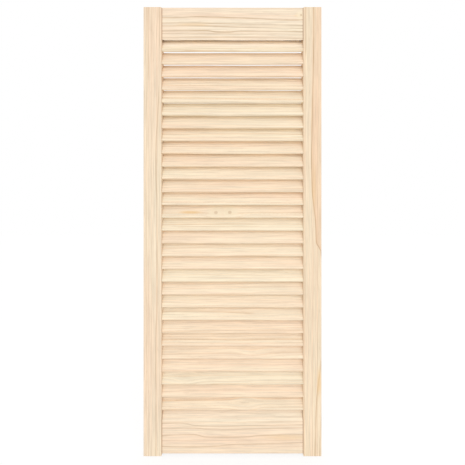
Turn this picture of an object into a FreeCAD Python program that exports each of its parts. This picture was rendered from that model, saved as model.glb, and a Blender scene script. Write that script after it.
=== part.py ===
import FreeCAD, Part
import math
import os
import Sketcher

# Louvred door leaf in pine: two stiles, two rails and a run of fixed slanted slats.
# Millimetres. The front faces -Y, the leaf is widest along X and tallest along Z.
# The origin is the middle of the left stile's outer edge face, where hinges would go.

# Each driving size has one cell
SIZES = (
    ("door_height", 993, "stile length"),
    ("door_width", 394, "outer edge to outer edge"),
    ("door_thickness", 21, "front face to back face of the stiles"),
    ("stile_width", 40, "width of each stile"),
    ("outer_round", 2, "radius of the outer arrises of the stiles"),
    ("inner_round", 0.8, "radius of the inner arrises of the stiles"),
    ("end_bevel", 0.6, "small bevel round the stile ends"),
    ("top_rail_height", 71.9, "front face of the top rail, before its arrises are rounded"),
    ("top_rail_bevel", 33.5, "degrees that the top rail's lower edge rises to the back"),
    ("bottom_rail_height", 73, "front face of the bottom rail, up to its bevel"),
    ("rail_thickness", 17, "thickness of both rails"),
    ("rail_round", 0.8, "radius of the long arrises of the rails"),
    ("foot_length", 4.5, "length of the stiles below the bottom rail"),
    ("tenon_length", 18, "stub tenon, from the rail shoulder"),
    ("tenon_thickness", 7, "thickness of the stub tenon"),
    ("tenon_shoulder", 14, "rail left beside the tenon at the square edge"),
    ("tenon_margin", 3, "rail left beside the tenon at the bevelled edge"),
    ("tenon_fit", 0.1, "clearance round the tenon in its mortise"),
    ("tenon_end_gap", 0.5, "glue space past the end of the tenon"),
    ("slat_width", 36.4, "slat section, along the slope"),
    ("slat_thickness", 6, "slat section, across the slope, with round edges"),
    ("slat_tilt", 25, "degrees that the slats lean back from upright"),
    ("slat_pitch_wanted", 28.4, "spacing aimed at, evened out between the rails"),
    ("top_slat_gap", 0.3, "clearance of the first slat under the top rail's bevel"),
    ("housing_depth", 8, "depth of the slanted housings in the stiles"),
    ("slat_fit", 0.1, "clearance round a slat in its housing"),
    ("slat_end_gap", 0.3, "space past the end of a slat in its housing"),
)

# Each of these follows from the driving sizes
DERIVED = (
    ("foot_level", "-door_height / 2", "lower end of the stiles, seen from the origin"),
    ("clear_width", "door_width - 2 * stile_width", "between the stiles"),
    ("top_rail_under", "door_height - top_rail_height", "front lower edge of the top rail"),
    ("bottom_rail_over", "foot_length + bottom_rail_height", "front upper edge of the bottom rail"),
    ("slat_slope", "1 / tan(slat_tilt * 1deg)", "rise for each millimetre of depth"),
    ("slat_rise", "slat_thickness / sin(slat_tilt * 1deg)", "slat thickness, cut upright"),
    ("slat_flat", "slat_width - slat_thickness", "between the centres of the round edges"),
    ("slat_edge_depth", "slat_flat / 2 * sin(slat_tilt * 1deg)", "slat middle to round edge, front to back"),
    ("slat_edge_height", "slat_flat / 2 * cos(slat_tilt * 1deg)", "slat middle to round edge, upright"),
    ("top_bevel_slope", "tan(top_rail_bevel * 1deg)", "rise for each millimetre of depth"),
    ("over_first_slat", "top_rail_under + (rail_thickness / 2 + slat_edge_depth) * top_bevel_slope",
     "top rail's bevel, over the first slat's back edge"),
    ("first_slat_drop", "(top_slat_gap + slat_thickness / 2) / cos(top_rail_bevel * 1deg)",
     "from the bevel to the centre of that edge"),
    ("first_slat_mid", "over_first_slat - first_slat_drop - slat_edge_height", "middle of the first slat"),
    ("below_slats", "bottom_rail_over + rail_thickness / 2 * slat_slope - slat_rise / 2",
     "middle of one more slat, if its face were the bottom rail's bevel"),
    ("slat_count", "round((first_slat_mid - below_slats) / slat_pitch_wanted)", "number of slats"),
    ("slat_pitch", "(first_slat_mid - below_slats) / slat_count", "spacing of the slats"),
    ("slat_length", "clear_width + 2 * (housing_depth - slat_end_gap)", "end to end"),
    ("top_bevel_rise", "rail_thickness * top_bevel_slope", "top rail's bevel, front to back"),
    ("bottom_bevel_rise", "rail_thickness * slat_slope", "bottom rail's bevel, along the slats"),
    ("top_tenon_low", "(rail_thickness + tenon_thickness) / 2 * top_bevel_slope + tenon_margin",
     "above the top rail's front lower edge"),
    ("top_tenon_high", "top_rail_height - tenon_shoulder", "above the top rail's front lower edge"),
    ("bottom_tenon_low", "tenon_shoulder", "above the bottom rail's lower edge"),
    ("bottom_tenon_high",
     "bottom_rail_height + (rail_thickness - tenon_thickness) / 2 * slat_slope - tenon_margin",
     "above the bottom rail's lower edge"),
)


def make_sheet(doc):
    """Fill the sheet: name, value and meaning, one size to a row."""
    sheet = doc.addObject("Spreadsheet::Sheet", "sizes")
    rows = [(name, str(value), meaning) for name, value, meaning in SIZES]
    rows += [(name, "=" + formula, meaning) for name, formula, meaning in DERIVED]
    for row, (name, content, meaning) in enumerate(rows, start=1):
        sheet.set(f"A{row}", name)
        sheet.set(f"B{row}", content)
        sheet.setAlias(f"B{row}", name)
        sheet.set(f"C{row}", meaning)
    doc.recompute()
    return sheet


def bind(target, **formulas):
    """Tie properties to sheet formulas; double underscores stand for dots."""
    for path, formula in formulas.items():
        target.setExpression(path.replace("__", "."), formula)


def origin_feature(body, role):
    return next(item for item in body.Origin.OriginFeatures if item.Role == role)


def new_body(doc, name):
    body = doc.addObject("PartDesign::Body", name)
    body.Label = name
    return body


def new_sketch(body, name, role):
    sketch = body.newObject("Sketcher::SketchObject", name)
    sketch.AttachmentSupport = [(origin_feature(body, role), "")]
    sketch.MapMode = "FlatFace"
    return sketch


def tie(sketch, formula, kind, *points):
    """Add one dimension to a sketch and bind it to a formula."""
    index = sketch.addConstraint(Sketcher.Constraint(kind, *points, 1.0))
    sketch.setExpression(f"Constraints[{index}]", formula)


def draw_polygon(sketch, corners):
    """Draw a closed outline; each corner is a pair of formulas in the sketch plane."""
    count = len(corners)
    turn = 2 * math.pi / count
    # Starting corners lie on a circle, and the dimensions below move them into place
    guess_radius = 10.0
    guess = [
        FreeCAD.Vector(guess_radius * math.cos(turn * k), guess_radius * math.sin(turn * k))
        for k in range(count)
    ]
    for k in range(count):
        sketch.addGeometry(Part.LineSegment(guess[k], guess[(k + 1) % count]), False)
    for k in range(count):
        sketch.addConstraint(Sketcher.Constraint("Coincident", k, 2, (k + 1) % count, 1))
    for k, (across, up) in enumerate(corners):
        for kind, formula in (("DistanceX", across), ("DistanceY", up)):
            if formula == "0":
                axis = -2 if kind == "DistanceX" else -1
                sketch.addConstraint(Sketcher.Constraint("PointOnObject", k, 1, axis))
            else:
                tie(sketch, formula, kind, -1, 1, k, 1)


def draw_rectangle(sketch, left, low, right, high):
    draw_polygon(sketch, [(left, low), (right, low), (right, high), (left, high)])


def draw_slat_section(sketch, clearance="0"):
    """Draw an upright slat section with full round edges about the sketch origin."""
    # Starting sizes, which the two dimensions below replace
    half = 15.0
    radius = 3.0
    normal = FreeCAD.Vector(0, 0, 1)
    upper = Part.Circle(FreeCAD.Vector(0, half), normal, radius)
    lower = Part.Circle(FreeCAD.Vector(0, -half), normal, radius)
    sketch.addGeometry(Part.ArcOfCircle(upper, 0, math.pi), False)
    sketch.addGeometry(Part.ArcOfCircle(lower, math.pi, 2 * math.pi), False)
    left = (FreeCAD.Vector(-radius, half), FreeCAD.Vector(-radius, -half))
    right = (FreeCAD.Vector(radius, -half), FreeCAD.Vector(radius, half))
    sketch.addGeometry(Part.LineSegment(*left), False)
    sketch.addGeometry(Part.LineSegment(*right), False)
    for first, first_end, second, second_end in ((0, 2, 2, 1), (2, 2, 1, 1), (1, 2, 3, 1), (3, 2, 0, 1)):
        sketch.addConstraint(Sketcher.Constraint("Tangent", first, first_end, second, second_end))
    sketch.addConstraint(Sketcher.Constraint("Equal", 0, 1))
    sketch.addConstraint(Sketcher.Constraint("Symmetric", 0, 3, 1, 3, -1, 1))
    sketch.addConstraint(Sketcher.Constraint("PointOnObject", 0, 3, -2))
    tie(sketch, "sizes.slat_flat", "DistanceY", 1, 3, 0, 3)
    tie(sketch, f"sizes.slat_thickness / 2 + {clearance}", "Radius", 0)


def add_pad(body, sketch, length):
    pad = body.newObject("PartDesign::Pad", sketch.Name + "_pad")
    pad.Profile = sketch
    bind(pad, Length=length)
    body.Document.recompute()
    return pad


def add_pocket(body, sketch, depth, reverse):
    pocket = body.newObject("PartDesign::Pocket", sketch.Name + "_cut")
    pocket.Profile = sketch
    pocket.Reversed = reverse
    bind(pocket, Length=depth)
    body.Document.recompute()
    return pocket


def add_fillet(body, base, edges, radius):
    fillet = body.newObject("PartDesign::Fillet", base.Name + "_round")
    fillet.Base = (base, edges)
    bind(fillet, Radius=radius)
    body.Document.recompute()
    return fillet


def add_bevel(body, base, edges, size):
    bevel = body.newObject("PartDesign::Chamfer", base.Name + "_bevel")
    bevel.Base = (base, edges)
    bind(bevel, Size=size)
    body.Document.recompute()
    return bevel


def arrises_along(feature, direction):
    """List the straight edges along a direction where two faces meet sharply."""
    parallel_cosine = 0.999
    sharp_cosine = 0.8
    found = []
    for index, edge in enumerate(feature.Shape.Edges, start=1):
        if not isinstance(edge.Curve, Part.Line):
            continue
        if abs(edge.Curve.Direction.dot(direction)) < parallel_cosine:
            continue
        first, second = feature.Shape.ancestorsOfType(edge, Part.Face)
        if first.normalAt(0, 0).dot(second.normalAt(0, 0)) < sharp_cosine:
            found.append((f"Edge{index}", edge.CenterOfMass))
    return found


def end_edges(feature):
    """Name the edges round the two end faces of an upright board."""
    same_level = 0.001
    whole = feature.Shape.BoundBox
    names = []
    for index, edge in enumerate(feature.Shape.Edges, start=1):
        middle = edge.BoundBox.Center.z
        if min(abs(middle - whole.ZMin), abs(middle - whole.ZMax)) < same_level:
            names.append(f"Edge{index}")
    return names


def make_stile(doc, sizes, name, is_left):
    """Build a stile: a rounded board with slanted housings and two mortises in its inner face."""
    body = new_body(doc, name)
    section = new_sketch(body, name + "_section", "XY_Plane")
    draw_rectangle(section, "0", "0", "sizes.stile_width", "sizes.door_thickness")
    board = add_pad(body, section, "sizes.door_height")
    middle = sizes.get("stile_width") / 2
    arrises = arrises_along(board, FreeCAD.Vector(0, 0, 1))
    outer = [edge for edge, place in arrises if (place.x < middle) == is_left]
    rounded = add_fillet(body, board, outer, "sizes.outer_round")
    arrises = arrises_along(rounded, FreeCAD.Vector(0, 0, 1))
    inner = [edge for edge, place in arrises if (place.x > middle) == is_left]
    rounded = add_fillet(body, rounded, inner, "sizes.inner_round")
    add_bevel(body, rounded, end_edges(rounded), "sizes.end_bevel")

    inner_face = "sizes.stile_width" if is_left else "0"
    housing = new_sketch(body, name + "_housing", "YZ_Plane")
    tilt_axis = FreeCAD.Vector(0, 0, -1)
    housing.AttachmentOffset = FreeCAD.Placement(FreeCAD.Vector(), FreeCAD.Rotation(tilt_axis, 1))
    bind(
        housing,
        AttachmentOffset__Rotation__Angle="sizes.slat_tilt * 1deg",
        AttachmentOffset__Base__x="sizes.door_thickness / 2",
        AttachmentOffset__Base__y="sizes.first_slat_mid",
        AttachmentOffset__Base__z=inner_face,
    )
    draw_slat_section(housing, "sizes.slat_fit")
    cut = add_pocket(body, housing, "sizes.housing_depth", not is_left)

    pattern = body.newObject("PartDesign::LinearPattern", name + "_housings")
    pattern.Originals = [cut]
    pattern.Direction = (origin_feature(body, "Z_Axis"), [""])
    pattern.Reversed = True
    bind(pattern, Length="sizes.slat_pitch * (sizes.slat_count - 1)", Occurrences="sizes.slat_count")
    body.Tip = pattern
    doc.recompute()

    for rail, rail_foot in (("top", "sizes.top_rail_under"), ("bottom", "sizes.foot_length")):
        mortise = new_sketch(body, f"{name}_{rail}_mortise", "YZ_Plane")
        bind(mortise, AttachmentOffset__Base__z=inner_face)
        draw_rectangle(
            mortise,
            "(sizes.door_thickness - sizes.tenon_thickness) / 2 - sizes.tenon_fit",
            f"{rail_foot} + sizes.{rail}_tenon_low - sizes.tenon_fit",
            "(sizes.door_thickness + sizes.tenon_thickness) / 2 + sizes.tenon_fit",
            f"{rail_foot} + sizes.{rail}_tenon_high + sizes.tenon_fit",
        )
        add_pocket(body, mortise, "sizes.tenon_length + sizes.tenon_end_gap", not is_left)

    bind(
        body,
        Placement__Base__x="0" if is_left else "sizes.door_width - sizes.stile_width",
        Placement__Base__y="-sizes.door_thickness / 2",
        Placement__Base__z="sizes.foot_level",
    )
    return body


def make_rail(doc, rail, corners, foot):
    """Build a rail: a board with a bevelled edge facing the slats and a stub tenon at each end."""
    name = rail + "_rail"
    body = new_body(doc, name)
    section = new_sketch(body, name + "_section", "YZ_Plane")
    draw_polygon(section, corners)
    board = add_pad(body, section, "sizes.clear_width")
    arrises = [edge for edge, _ in arrises_along(board, FreeCAD.Vector(1, 0, 0))]
    add_fillet(body, board, arrises, "sizes.rail_round")

    tenon = new_sketch(body, name + "_tenon", "YZ_Plane")
    bind(tenon, AttachmentOffset__Base__z="-sizes.tenon_length")
    draw_rectangle(
        tenon,
        "(sizes.rail_thickness - sizes.tenon_thickness) / 2",
        f"sizes.{rail}_tenon_low",
        "(sizes.rail_thickness + sizes.tenon_thickness) / 2",
        f"sizes.{rail}_tenon_high",
    )
    add_pad(body, tenon, "sizes.clear_width + 2 * sizes.tenon_length")
    bind(
        body,
        Placement__Base__x="sizes.stile_width",
        Placement__Base__y="-sizes.rail_thickness / 2",
        Placement__Base__z=f"sizes.foot_level + {foot}",
    )
    return body


def make_slat(doc, number):
    """Build one fixed slat, leaning back, with both ends in the stile housings."""
    name = f"slat_{number:02d}"
    body = new_body(doc, name)
    section = new_sketch(body, name + "_section", "YZ_Plane")
    draw_slat_section(section)
    add_pad(body, section, "sizes.slat_length")
    tilt_axis = FreeCAD.Vector(-1, 0, 0)
    body.Placement = FreeCAD.Placement(FreeCAD.Vector(), FreeCAD.Rotation(tilt_axis, 1))
    bind(
        body,
        Placement__Rotation__Angle="sizes.slat_tilt * 1deg",
        Placement__Base__x="sizes.stile_width - sizes.housing_depth + sizes.slat_end_gap",
        Placement__Base__z=f"sizes.foot_level + sizes.first_slat_mid - {number - 1} * sizes.slat_pitch",
    )
    return body


def check(doc, bodies):
    """Stop if a feature failed or a piece isn't one sound solid."""
    for item in doc.Objects:
        if "Invalid" in item.State or "Error" in item.State:
            raise RuntimeError(f"{item.Label} failed: {item.State}")
    for body in bodies:
        shape = body.Shape
        if shape.isNull() or not shape.isValid() or len(shape.Solids) != 1:
            raise RuntimeError(f"{body.Label} isn't one sound solid")


def main():
    doc = FreeCAD.newDocument("louvred_door")
    sizes = make_sheet(doc)
    top_rail_section = [
        ("0", "0"),
        ("sizes.rail_thickness", "sizes.top_bevel_rise"),
        ("sizes.rail_thickness", "sizes.top_rail_height"),
        ("0", "sizes.top_rail_height"),
    ]
    bottom_rail_section = [
        ("0", "0"),
        ("sizes.rail_thickness", "0"),
        ("sizes.rail_thickness", "sizes.bottom_rail_height + sizes.bottom_bevel_rise"),
        ("0", "sizes.bottom_rail_height"),
    ]
    bodies = [
        make_stile(doc, sizes, "left_stile", True),
        make_stile(doc, sizes, "right_stile", False),
        make_rail(doc, "top", top_rail_section, "sizes.top_rail_under"),
        make_rail(doc, "bottom", bottom_rail_section, "sizes.foot_length"),
    ]
    for number in range(1, int(sizes.get("slat_count")) + 1):
        bodies.append(make_slat(doc, number))
    doc.recompute()
    check(doc, bodies)
    os.makedirs("parts", exist_ok=True)
    for body in bodies:
        body.Shape.exportStep(f"parts/{body.Label}.step")


main()
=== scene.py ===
"""A louvred door leaf in bare pine: the finish of every board, the slats, and a plain white studio."""

import math

import bpy
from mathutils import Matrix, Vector


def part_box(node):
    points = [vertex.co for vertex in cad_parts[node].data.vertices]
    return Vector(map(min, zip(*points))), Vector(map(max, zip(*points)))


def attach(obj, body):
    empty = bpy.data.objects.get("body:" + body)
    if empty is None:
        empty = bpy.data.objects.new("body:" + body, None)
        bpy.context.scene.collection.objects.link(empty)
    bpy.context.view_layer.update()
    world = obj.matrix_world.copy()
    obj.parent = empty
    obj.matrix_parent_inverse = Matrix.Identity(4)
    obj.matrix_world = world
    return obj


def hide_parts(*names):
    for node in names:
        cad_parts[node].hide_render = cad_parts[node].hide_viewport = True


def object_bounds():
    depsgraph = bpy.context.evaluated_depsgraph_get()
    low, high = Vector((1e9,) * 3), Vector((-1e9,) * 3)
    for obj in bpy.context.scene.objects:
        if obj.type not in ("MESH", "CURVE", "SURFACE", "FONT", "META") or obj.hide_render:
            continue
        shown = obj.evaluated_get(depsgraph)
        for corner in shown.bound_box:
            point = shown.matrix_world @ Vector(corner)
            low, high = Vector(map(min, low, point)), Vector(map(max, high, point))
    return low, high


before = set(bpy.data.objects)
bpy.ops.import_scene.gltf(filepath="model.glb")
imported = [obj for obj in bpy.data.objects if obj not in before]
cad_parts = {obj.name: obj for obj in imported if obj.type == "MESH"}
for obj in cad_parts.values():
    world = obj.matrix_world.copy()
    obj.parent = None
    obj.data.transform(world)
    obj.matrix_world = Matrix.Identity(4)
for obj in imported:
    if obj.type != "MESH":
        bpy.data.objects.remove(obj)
cad_low, cad_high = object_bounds()

# Where the door stands, in metres
door_middle = (cad_low + cad_high) / 2
front_face = cad_low.y
floor_level = cad_low.z

# Half of the clear width between the stiles
clear_half = (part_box("right_stile")[0].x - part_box("left_stile")[1].x) / 2

# Slats: their thickness is known, and their width, lean and spacing come from the frame
slat_nodes = sorted(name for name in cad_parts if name.startswith("slat_"))
slat_thickness = 0.006
first_low, first_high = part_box(slat_nodes[0])
last_low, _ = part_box(slat_nodes[-1])
slat_flat_depth = first_high.y - first_low.y - slat_thickness
slat_flat_rise = first_high.z - first_low.z - slat_thickness
slat_tilt = math.atan2(slat_flat_depth, slat_flat_rise)
slat_width = math.hypot(slat_flat_depth, slat_flat_rise) + slat_thickness
slat_length = first_high.x - first_low.x
slat_pitch = (first_low.z - last_low.z) / (len(slat_nodes) - 1)

# Slat meshes: steps round the section and along the length, and a bow that differs by chance
SECTION_STEPS = 40
LENGTH_STEPS = 34
SLAT_BOW = 0.0016
BOW_SHARES = (0.0, 0.6, 1.0)
BENDS_PER_METRE = 6.0
BEND_SPREAD = 90.0
SLAT_SEED = 4

# Pine colours, as linear red, green and blue
EARLYWOOD = (0.900, 0.780, 0.580, 1.0)
PEACH = (0.920, 0.722, 0.530, 1.0)
LATEWOOD = (0.680, 0.430, 0.220, 1.0)
AMBER = (0.800, 0.530, 0.250, 1.0)
RESIN = (0.400, 0.210, 0.090, 1.0)
KNOT = (0.400, 0.200, 0.070, 1.0)
# The next two colours are painted fill light: paler wood painted into crevices where shade falls,
# standing in for light that reaches them.
PAINTED_FILL = (0.950, 0.860, 0.710, 1.0)
PAINTED_FILL_UNDER_RAIL = (0.990, 0.850, 0.680, 1.0)
GRAIN_LINE = (0.500, 0.310, 0.140, 1.0)
# The joint colour is glue and dust with painted shade: the shadow of the gap where a rail or a slat
# enters a stile.
JOINT_DUST_AND_SHADE = (0.380, 0.200, 0.110, 1.0)
WARM_FIELD = (0.830, 0.570, 0.370, 1.0)

# Stiles: pith and lean as (across, deep), and marks by their place (along, across), in metres
STILES = {
    "left_stile": {
        "seed": 1.3,
        "blush": 0.45,
        "tone": (0.938, 0.922, 0.932, 1.0),
        # The foot tone is painted light: the stile is painted paler towards its foot, making up for the
        # lamp's light that falls off towards the floor.
        "foot_painted_light": (0.964, 0.988, 1.020, 1.0),
        "pith": (0.120, 0.030),
        "lean": (0.002, 0.0),
        "ring_width": 0.0042,
        "wander": 0.004,
        "figure": 0.38,
        "lines": [
            {"path": [(-0.50, 0.0065), (-0.328, 0.0067), (-0.215, 0.0074), (-0.171, 0.0095),
                      (0.059, 0.0095), (0.114, 0.0076), (0.165, 0.0070), (0.236, 0.0105),
                      (0.309, 0.0139)],
             "dark": 0.44},
            {"path": [(0.42, 0.0156), (0.50, 0.0161)], "dark": 0.49},
            {"path": [(0.35, -0.0086), (0.42, -0.0090), (0.50, -0.0087)], "side": -1, "dark": 0.37},
        ],
    },
    "right_stile": {
        "seed": 5.1,
        "blush": 0.45,
        "tone": (0.928, 0.892, 0.880, 1.0),
        # Painted light again: this stile is painted paler towards its foot.
        "foot_painted_light": (0.980, 0.982, 0.982, 1.0),
        "pith": (-0.130, 0.030),
        "lean": (0.002, 0.0),
        "ring_width": 0.0045,
        "wander": 0.004,
        "figure": 0.38,
        "lines": [
            {"path": [(-0.043, 0.0180), (-0.033, 0.0130), (-0.020, 0.0076), (0.010, 0.0066),
                      (0.055, 0.0025), (0.099, -0.0016), (0.165, -0.0027), (0.269, -0.0014),
                      (0.357, 0.0008), (0.50, 0.0019)],
             "dark": 0.64, "tint": 0.48, "tint_width": 0.032, "tint_fade": (0.20, 0.36), "slant": 1.6},
            {"path": [(-0.50, 0.0047), (-0.438, 0.0061), (-0.381, 0.0080), (-0.336, 0.0119),
                      (-0.317, 0.0152), (-0.295, 0.0175)],
             "dark": 0.70, "tint": 0.06, "slant": 1.4},
            {"path": [(-0.50, 0.0150), (-0.46, 0.0160), (-0.42, 0.0185)],
             "dark": 0.45, "soft": 0.0045, "slant": 1.2},
            {"path": [(0.40, -0.0148), (0.50, -0.0146)], "side": -1, "dark": 0.41},
        ],
        "streaks": [
            {"at": (0.100, 0.0035), "reach": (0.075, 0.006), "amber": 0.40},
            {"at": (-0.330, 0.0145), "reach": (0.042, 0.0065), "amber": 0.7},
        ],
    },
}

# Rails, in the same terms, with the slope of the top rail's bevelled underside
RAILS = {
    "top_rail": {
        "seed": 2.6,
        "underside_slope": math.tan(math.radians(33.5)),
        "blush": 0.35,
        "tone": (0.955, 0.962, 1.000, 1.0),
        "pith": (-0.110, 0.040),
        "lean": (-0.006, 0.0),
        "ring_width": 0.0048,
        "wander": 0.007,
        "figure": 0.35,
        "lines": [
            {"path": [(-0.160, 0.0129), (-0.116, 0.0136), (-0.079, 0.0147), (-0.039, 0.0140),
                      (0.052, 0.0111), (0.127, 0.0074), (0.160, 0.0082)],
             "dark": 0.83, "soft": 0.003, "tint": 0.08, "tint_width": 0.03},
            {"path": [(-0.160, 0.0005), (-0.094, 0.0014), (-0.039, 0.0001), (0.039, -0.0021),
                      (0.160, -0.0050)],
             "dark": 0.53},
            {"path": [(-0.160, -0.0056), (-0.061, -0.0054), (-0.017, -0.0072), (0.028, -0.0087),
                      (0.160, -0.0110)],
             "dark": 0.56},
            {"path": [(-0.160, -0.0167), (-0.061, -0.0160), (-0.036, -0.0189), (-0.010, -0.0193),
                      (0.017, -0.0171), (0.160, -0.0187)],
             "dark": 0.74},
            {"path": [(-0.160, -0.0229), (-0.050, -0.0231), (0.039, -0.0242), (0.160, -0.0255)],
             "dark": 0.42},
            {"path": [(-0.160, -0.0324), (-0.039, -0.0309), (0.160, -0.0335)], "dark": 0.51},
        ],
        "knots": [{"at": (0.152, 0.0190), "radius": 0.0030, "dark": 0.40}],
        "streaks": [
            {"at": (-0.088, -0.0022), "reach": (0.050, 0.0035), "amber": 0.45},
            {"at": (0.150, 0.0185), "reach": (0.016, 0.0060), "amber": 0.60},
        ],
    },
    "bottom_rail": {
        "seed": 8.2,
        "blush": 0.60,
        "tone": (1.0, 1.015, 1.055, 1.0),
        "pith": (-0.090, 0.045),
        "lean": (0.004, 0.0),
        "ring_width": 0.0055,
        "wander": 0.010,
        "figure": 0.26,
        "lines": [
            {"path": [(-0.160, 0.0112), (-0.125, 0.0137), (-0.103, 0.0123), (-0.076, 0.0081),
                      (-0.045, 0.0073), (0.039, 0.0084), (0.160, 0.0108)],
             "dark": 0.43, "soft": 0.0030},
            {"path": [(-0.160, 0.0022), (-0.090, 0.0028), (-0.059, 0.0002), (-0.023, -0.0009),
                      (0.039, 0.0006), (0.160, 0.0033)],
             "dark": 0.35},
            {"path": [(-0.160, -0.0135), (-0.120, -0.0111), (-0.090, -0.0106), (-0.059, -0.0157),
                      (-0.023, -0.0161), (0.017, -0.0159), (0.065, -0.0126), (0.160, -0.0108)],
             "side": -1, "dark": 0.50, "soft": 0.004, "tint": 0.10, "tint_width": 0.012},
            {"path": [(-0.160, -0.0370), (-0.116, -0.0391), (-0.045, -0.0378), (0.003, -0.0338),
                      (0.065, -0.0325), (0.118, -0.0307), (0.160, -0.0290)],
             "dark": 0.46, "soft": 0.004},
        ],
        "streaks": [{"at": (0.125, -0.0175), "reach": (0.075, 0.008), "amber": 0.42}],
    },
}

# Slats, counted from 1 at the top; a knot with no dark in it is only a swirl in the grain
SLATS = {
    "tone": (1.005, 1.010, 1.025, 1.0),
    # The nose tone is painted shade: the rounded underside of each slat's front edge, turned from the
    # light, is painted darker and greyer.
    "nose_painted_shade": (0.935, 0.955, 0.975, 1.0),
    "blush": (0.40, 0.75),
    "blush_shifts": {-0.52: (1, 5, 19, 27), -0.34: (6, 8, 15), 0.20: (2, 3, 23, 26, 28)},
    "plain_slats": (16, 17, 18, 19, 20, 21, 25, 26, 28),
    "pith": (0.120, 0.070),
    "lean": (0.012, 0.005),
    "ring_width": 0.0045,
    "wander": 0.008,
    "figure": 0.57,
    "plain_figure": 0.34,
    "lines": [
        {"slat": 22, "path": [(-0.165, -0.0028), (-0.105, 0.0007), (-0.028, -0.0010), (0.035, -0.0045)],
         "dark": 0.36, "soft": 0.004, "tint": 0.30},
        {"slat": 15, "path": [(-0.13, -0.0050), (0.0, -0.0042), (0.04, -0.0044)], "dark": 0.30},
        {"slat": 15, "path": [(-0.11, -0.0110), (0.05, -0.0102)], "dark": 0.26},
    ],
    "knots": [
        {"slat": 14, "at": (-0.037, -0.0066), "radius": 0.0056, "dark": 0.36},
        {"slat": 14, "at": (-0.006, -0.0062), "radius": 0.0056, "dark": 0.38},
        {"slat": 25, "at": (0.045, 0.0040), "radius": 0.0070},
        {"slat": 27, "at": (-0.105, -0.0020), "radius": 0.0080},
        {"slat": 29, "at": (0.028, -0.0030), "radius": 0.0070},
    ],
    "streaks": [
        {"slat": 14, "at": (-0.091, -0.0060), "reach": (0.031, 0.0046), "amber": 0.9},
        {"slat": 14, "at": (0.000, -0.0090), "reach": (0.010, 0.004), "amber": 0.4},
    ],
}

# Marks: a growth line's values where it states none, how it fades, a streak's depth, a place off a slat
PLAIN_LINE = {"side": 1, "slant": 0.4, "sharp": 0.0012, "soft": 0.0035, "tint_width": 0.010}
LINE_FADE = 0.02
FADED_TINT = 0.45
STREAK_DEPTH = 0.02
FAR_AWAY = 10.0

# Edges and joints: widths in metres, and how strongly a joint's dust and painted shade show
STILE_EDGE = 0.0025
THIN_EDGE = 0.0015
JOINT_SHADE_WIDTH = 0.0020
JOINT_SHADE_FULL = 0.3
RAIL_JOINT_SHADE = 0.8
SLAT_JOINT_SHADE = 0.25

# Painted light and shade: a stile painted paler towards its foot, a slat's nose painted darker, and
# crevices painted paler as fill light; spans in metres, and the share that shows
FOOT_LIGHT_SPAN = (-0.5, -0.15)
NOSE_SHADE_DEPTH = 0.0020
PAINTED_FILL_UNDERSIDE_SPAN = (0.0002, 0.0010)
PAINTED_FILL_UNDER_RAIL_SPAN = (-0.012, 0.0)
PAINTED_FILL_UNDER_RAIL_SHARE = 0.9
PAINTED_FILL_FACE_SPAN = (-0.002, 0.008)
PAINTED_FILL_FACE_SHARE = 0.25

# Chance on the slats: a slat's cut is spread into draws of its own, and its pith is never too near
PITH_SPREAD = 913.0
HAND_SPREAD = 31.0
SEED_SPREAD = 40.0
BLUSH_SPREAD = 7.0
NEAREST_PITH = (0.4, 0.5)

# Pine as a surface: its gloss, and a bump in metres
SPECULAR = 0.3
BUMP_STRENGTH = 0.3
BUMP_DISTANCE = 0.0003

# Studio: the floor as the light and as the camera finds it, the room, and one wide lamp
FLOOR_HALF = 40.0
FLOOR_DROP = 0.0002
FLOOR_WHITE = 0.95
FLOOR_SEEN = 0.22
FLOOR_GLOW = 0.79
ROOM_LIGHT = 0.97
ROOM_SEEN = 1.0
WHITE = (1.0, 1.0, 1.0, 1.0)
LAMP_POWER = 9.6
LAMP_PLACE = (0.53, -2.0, 0.50)
LAMP_SIZE = (2.8, 2.3)

# Camera: its distance from the front face, the width of the image there, its height and its sensor
CAMERA_DISTANCE = 0.58
FRAME_WIDTH = 1.0269
CAMERA_HEIGHT = -0.0020
SENSOR_WIDTH = 36.0

# Numbers of a mix node's colour sockets, which share their names with its other sockets
MIX_FIRST = 6
MIX_SECOND = 7
MIX_RESULT = 2

# Room left on a curve above and below the path of a growth line, in metres
CURVE_MARGIN = 0.001


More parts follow.
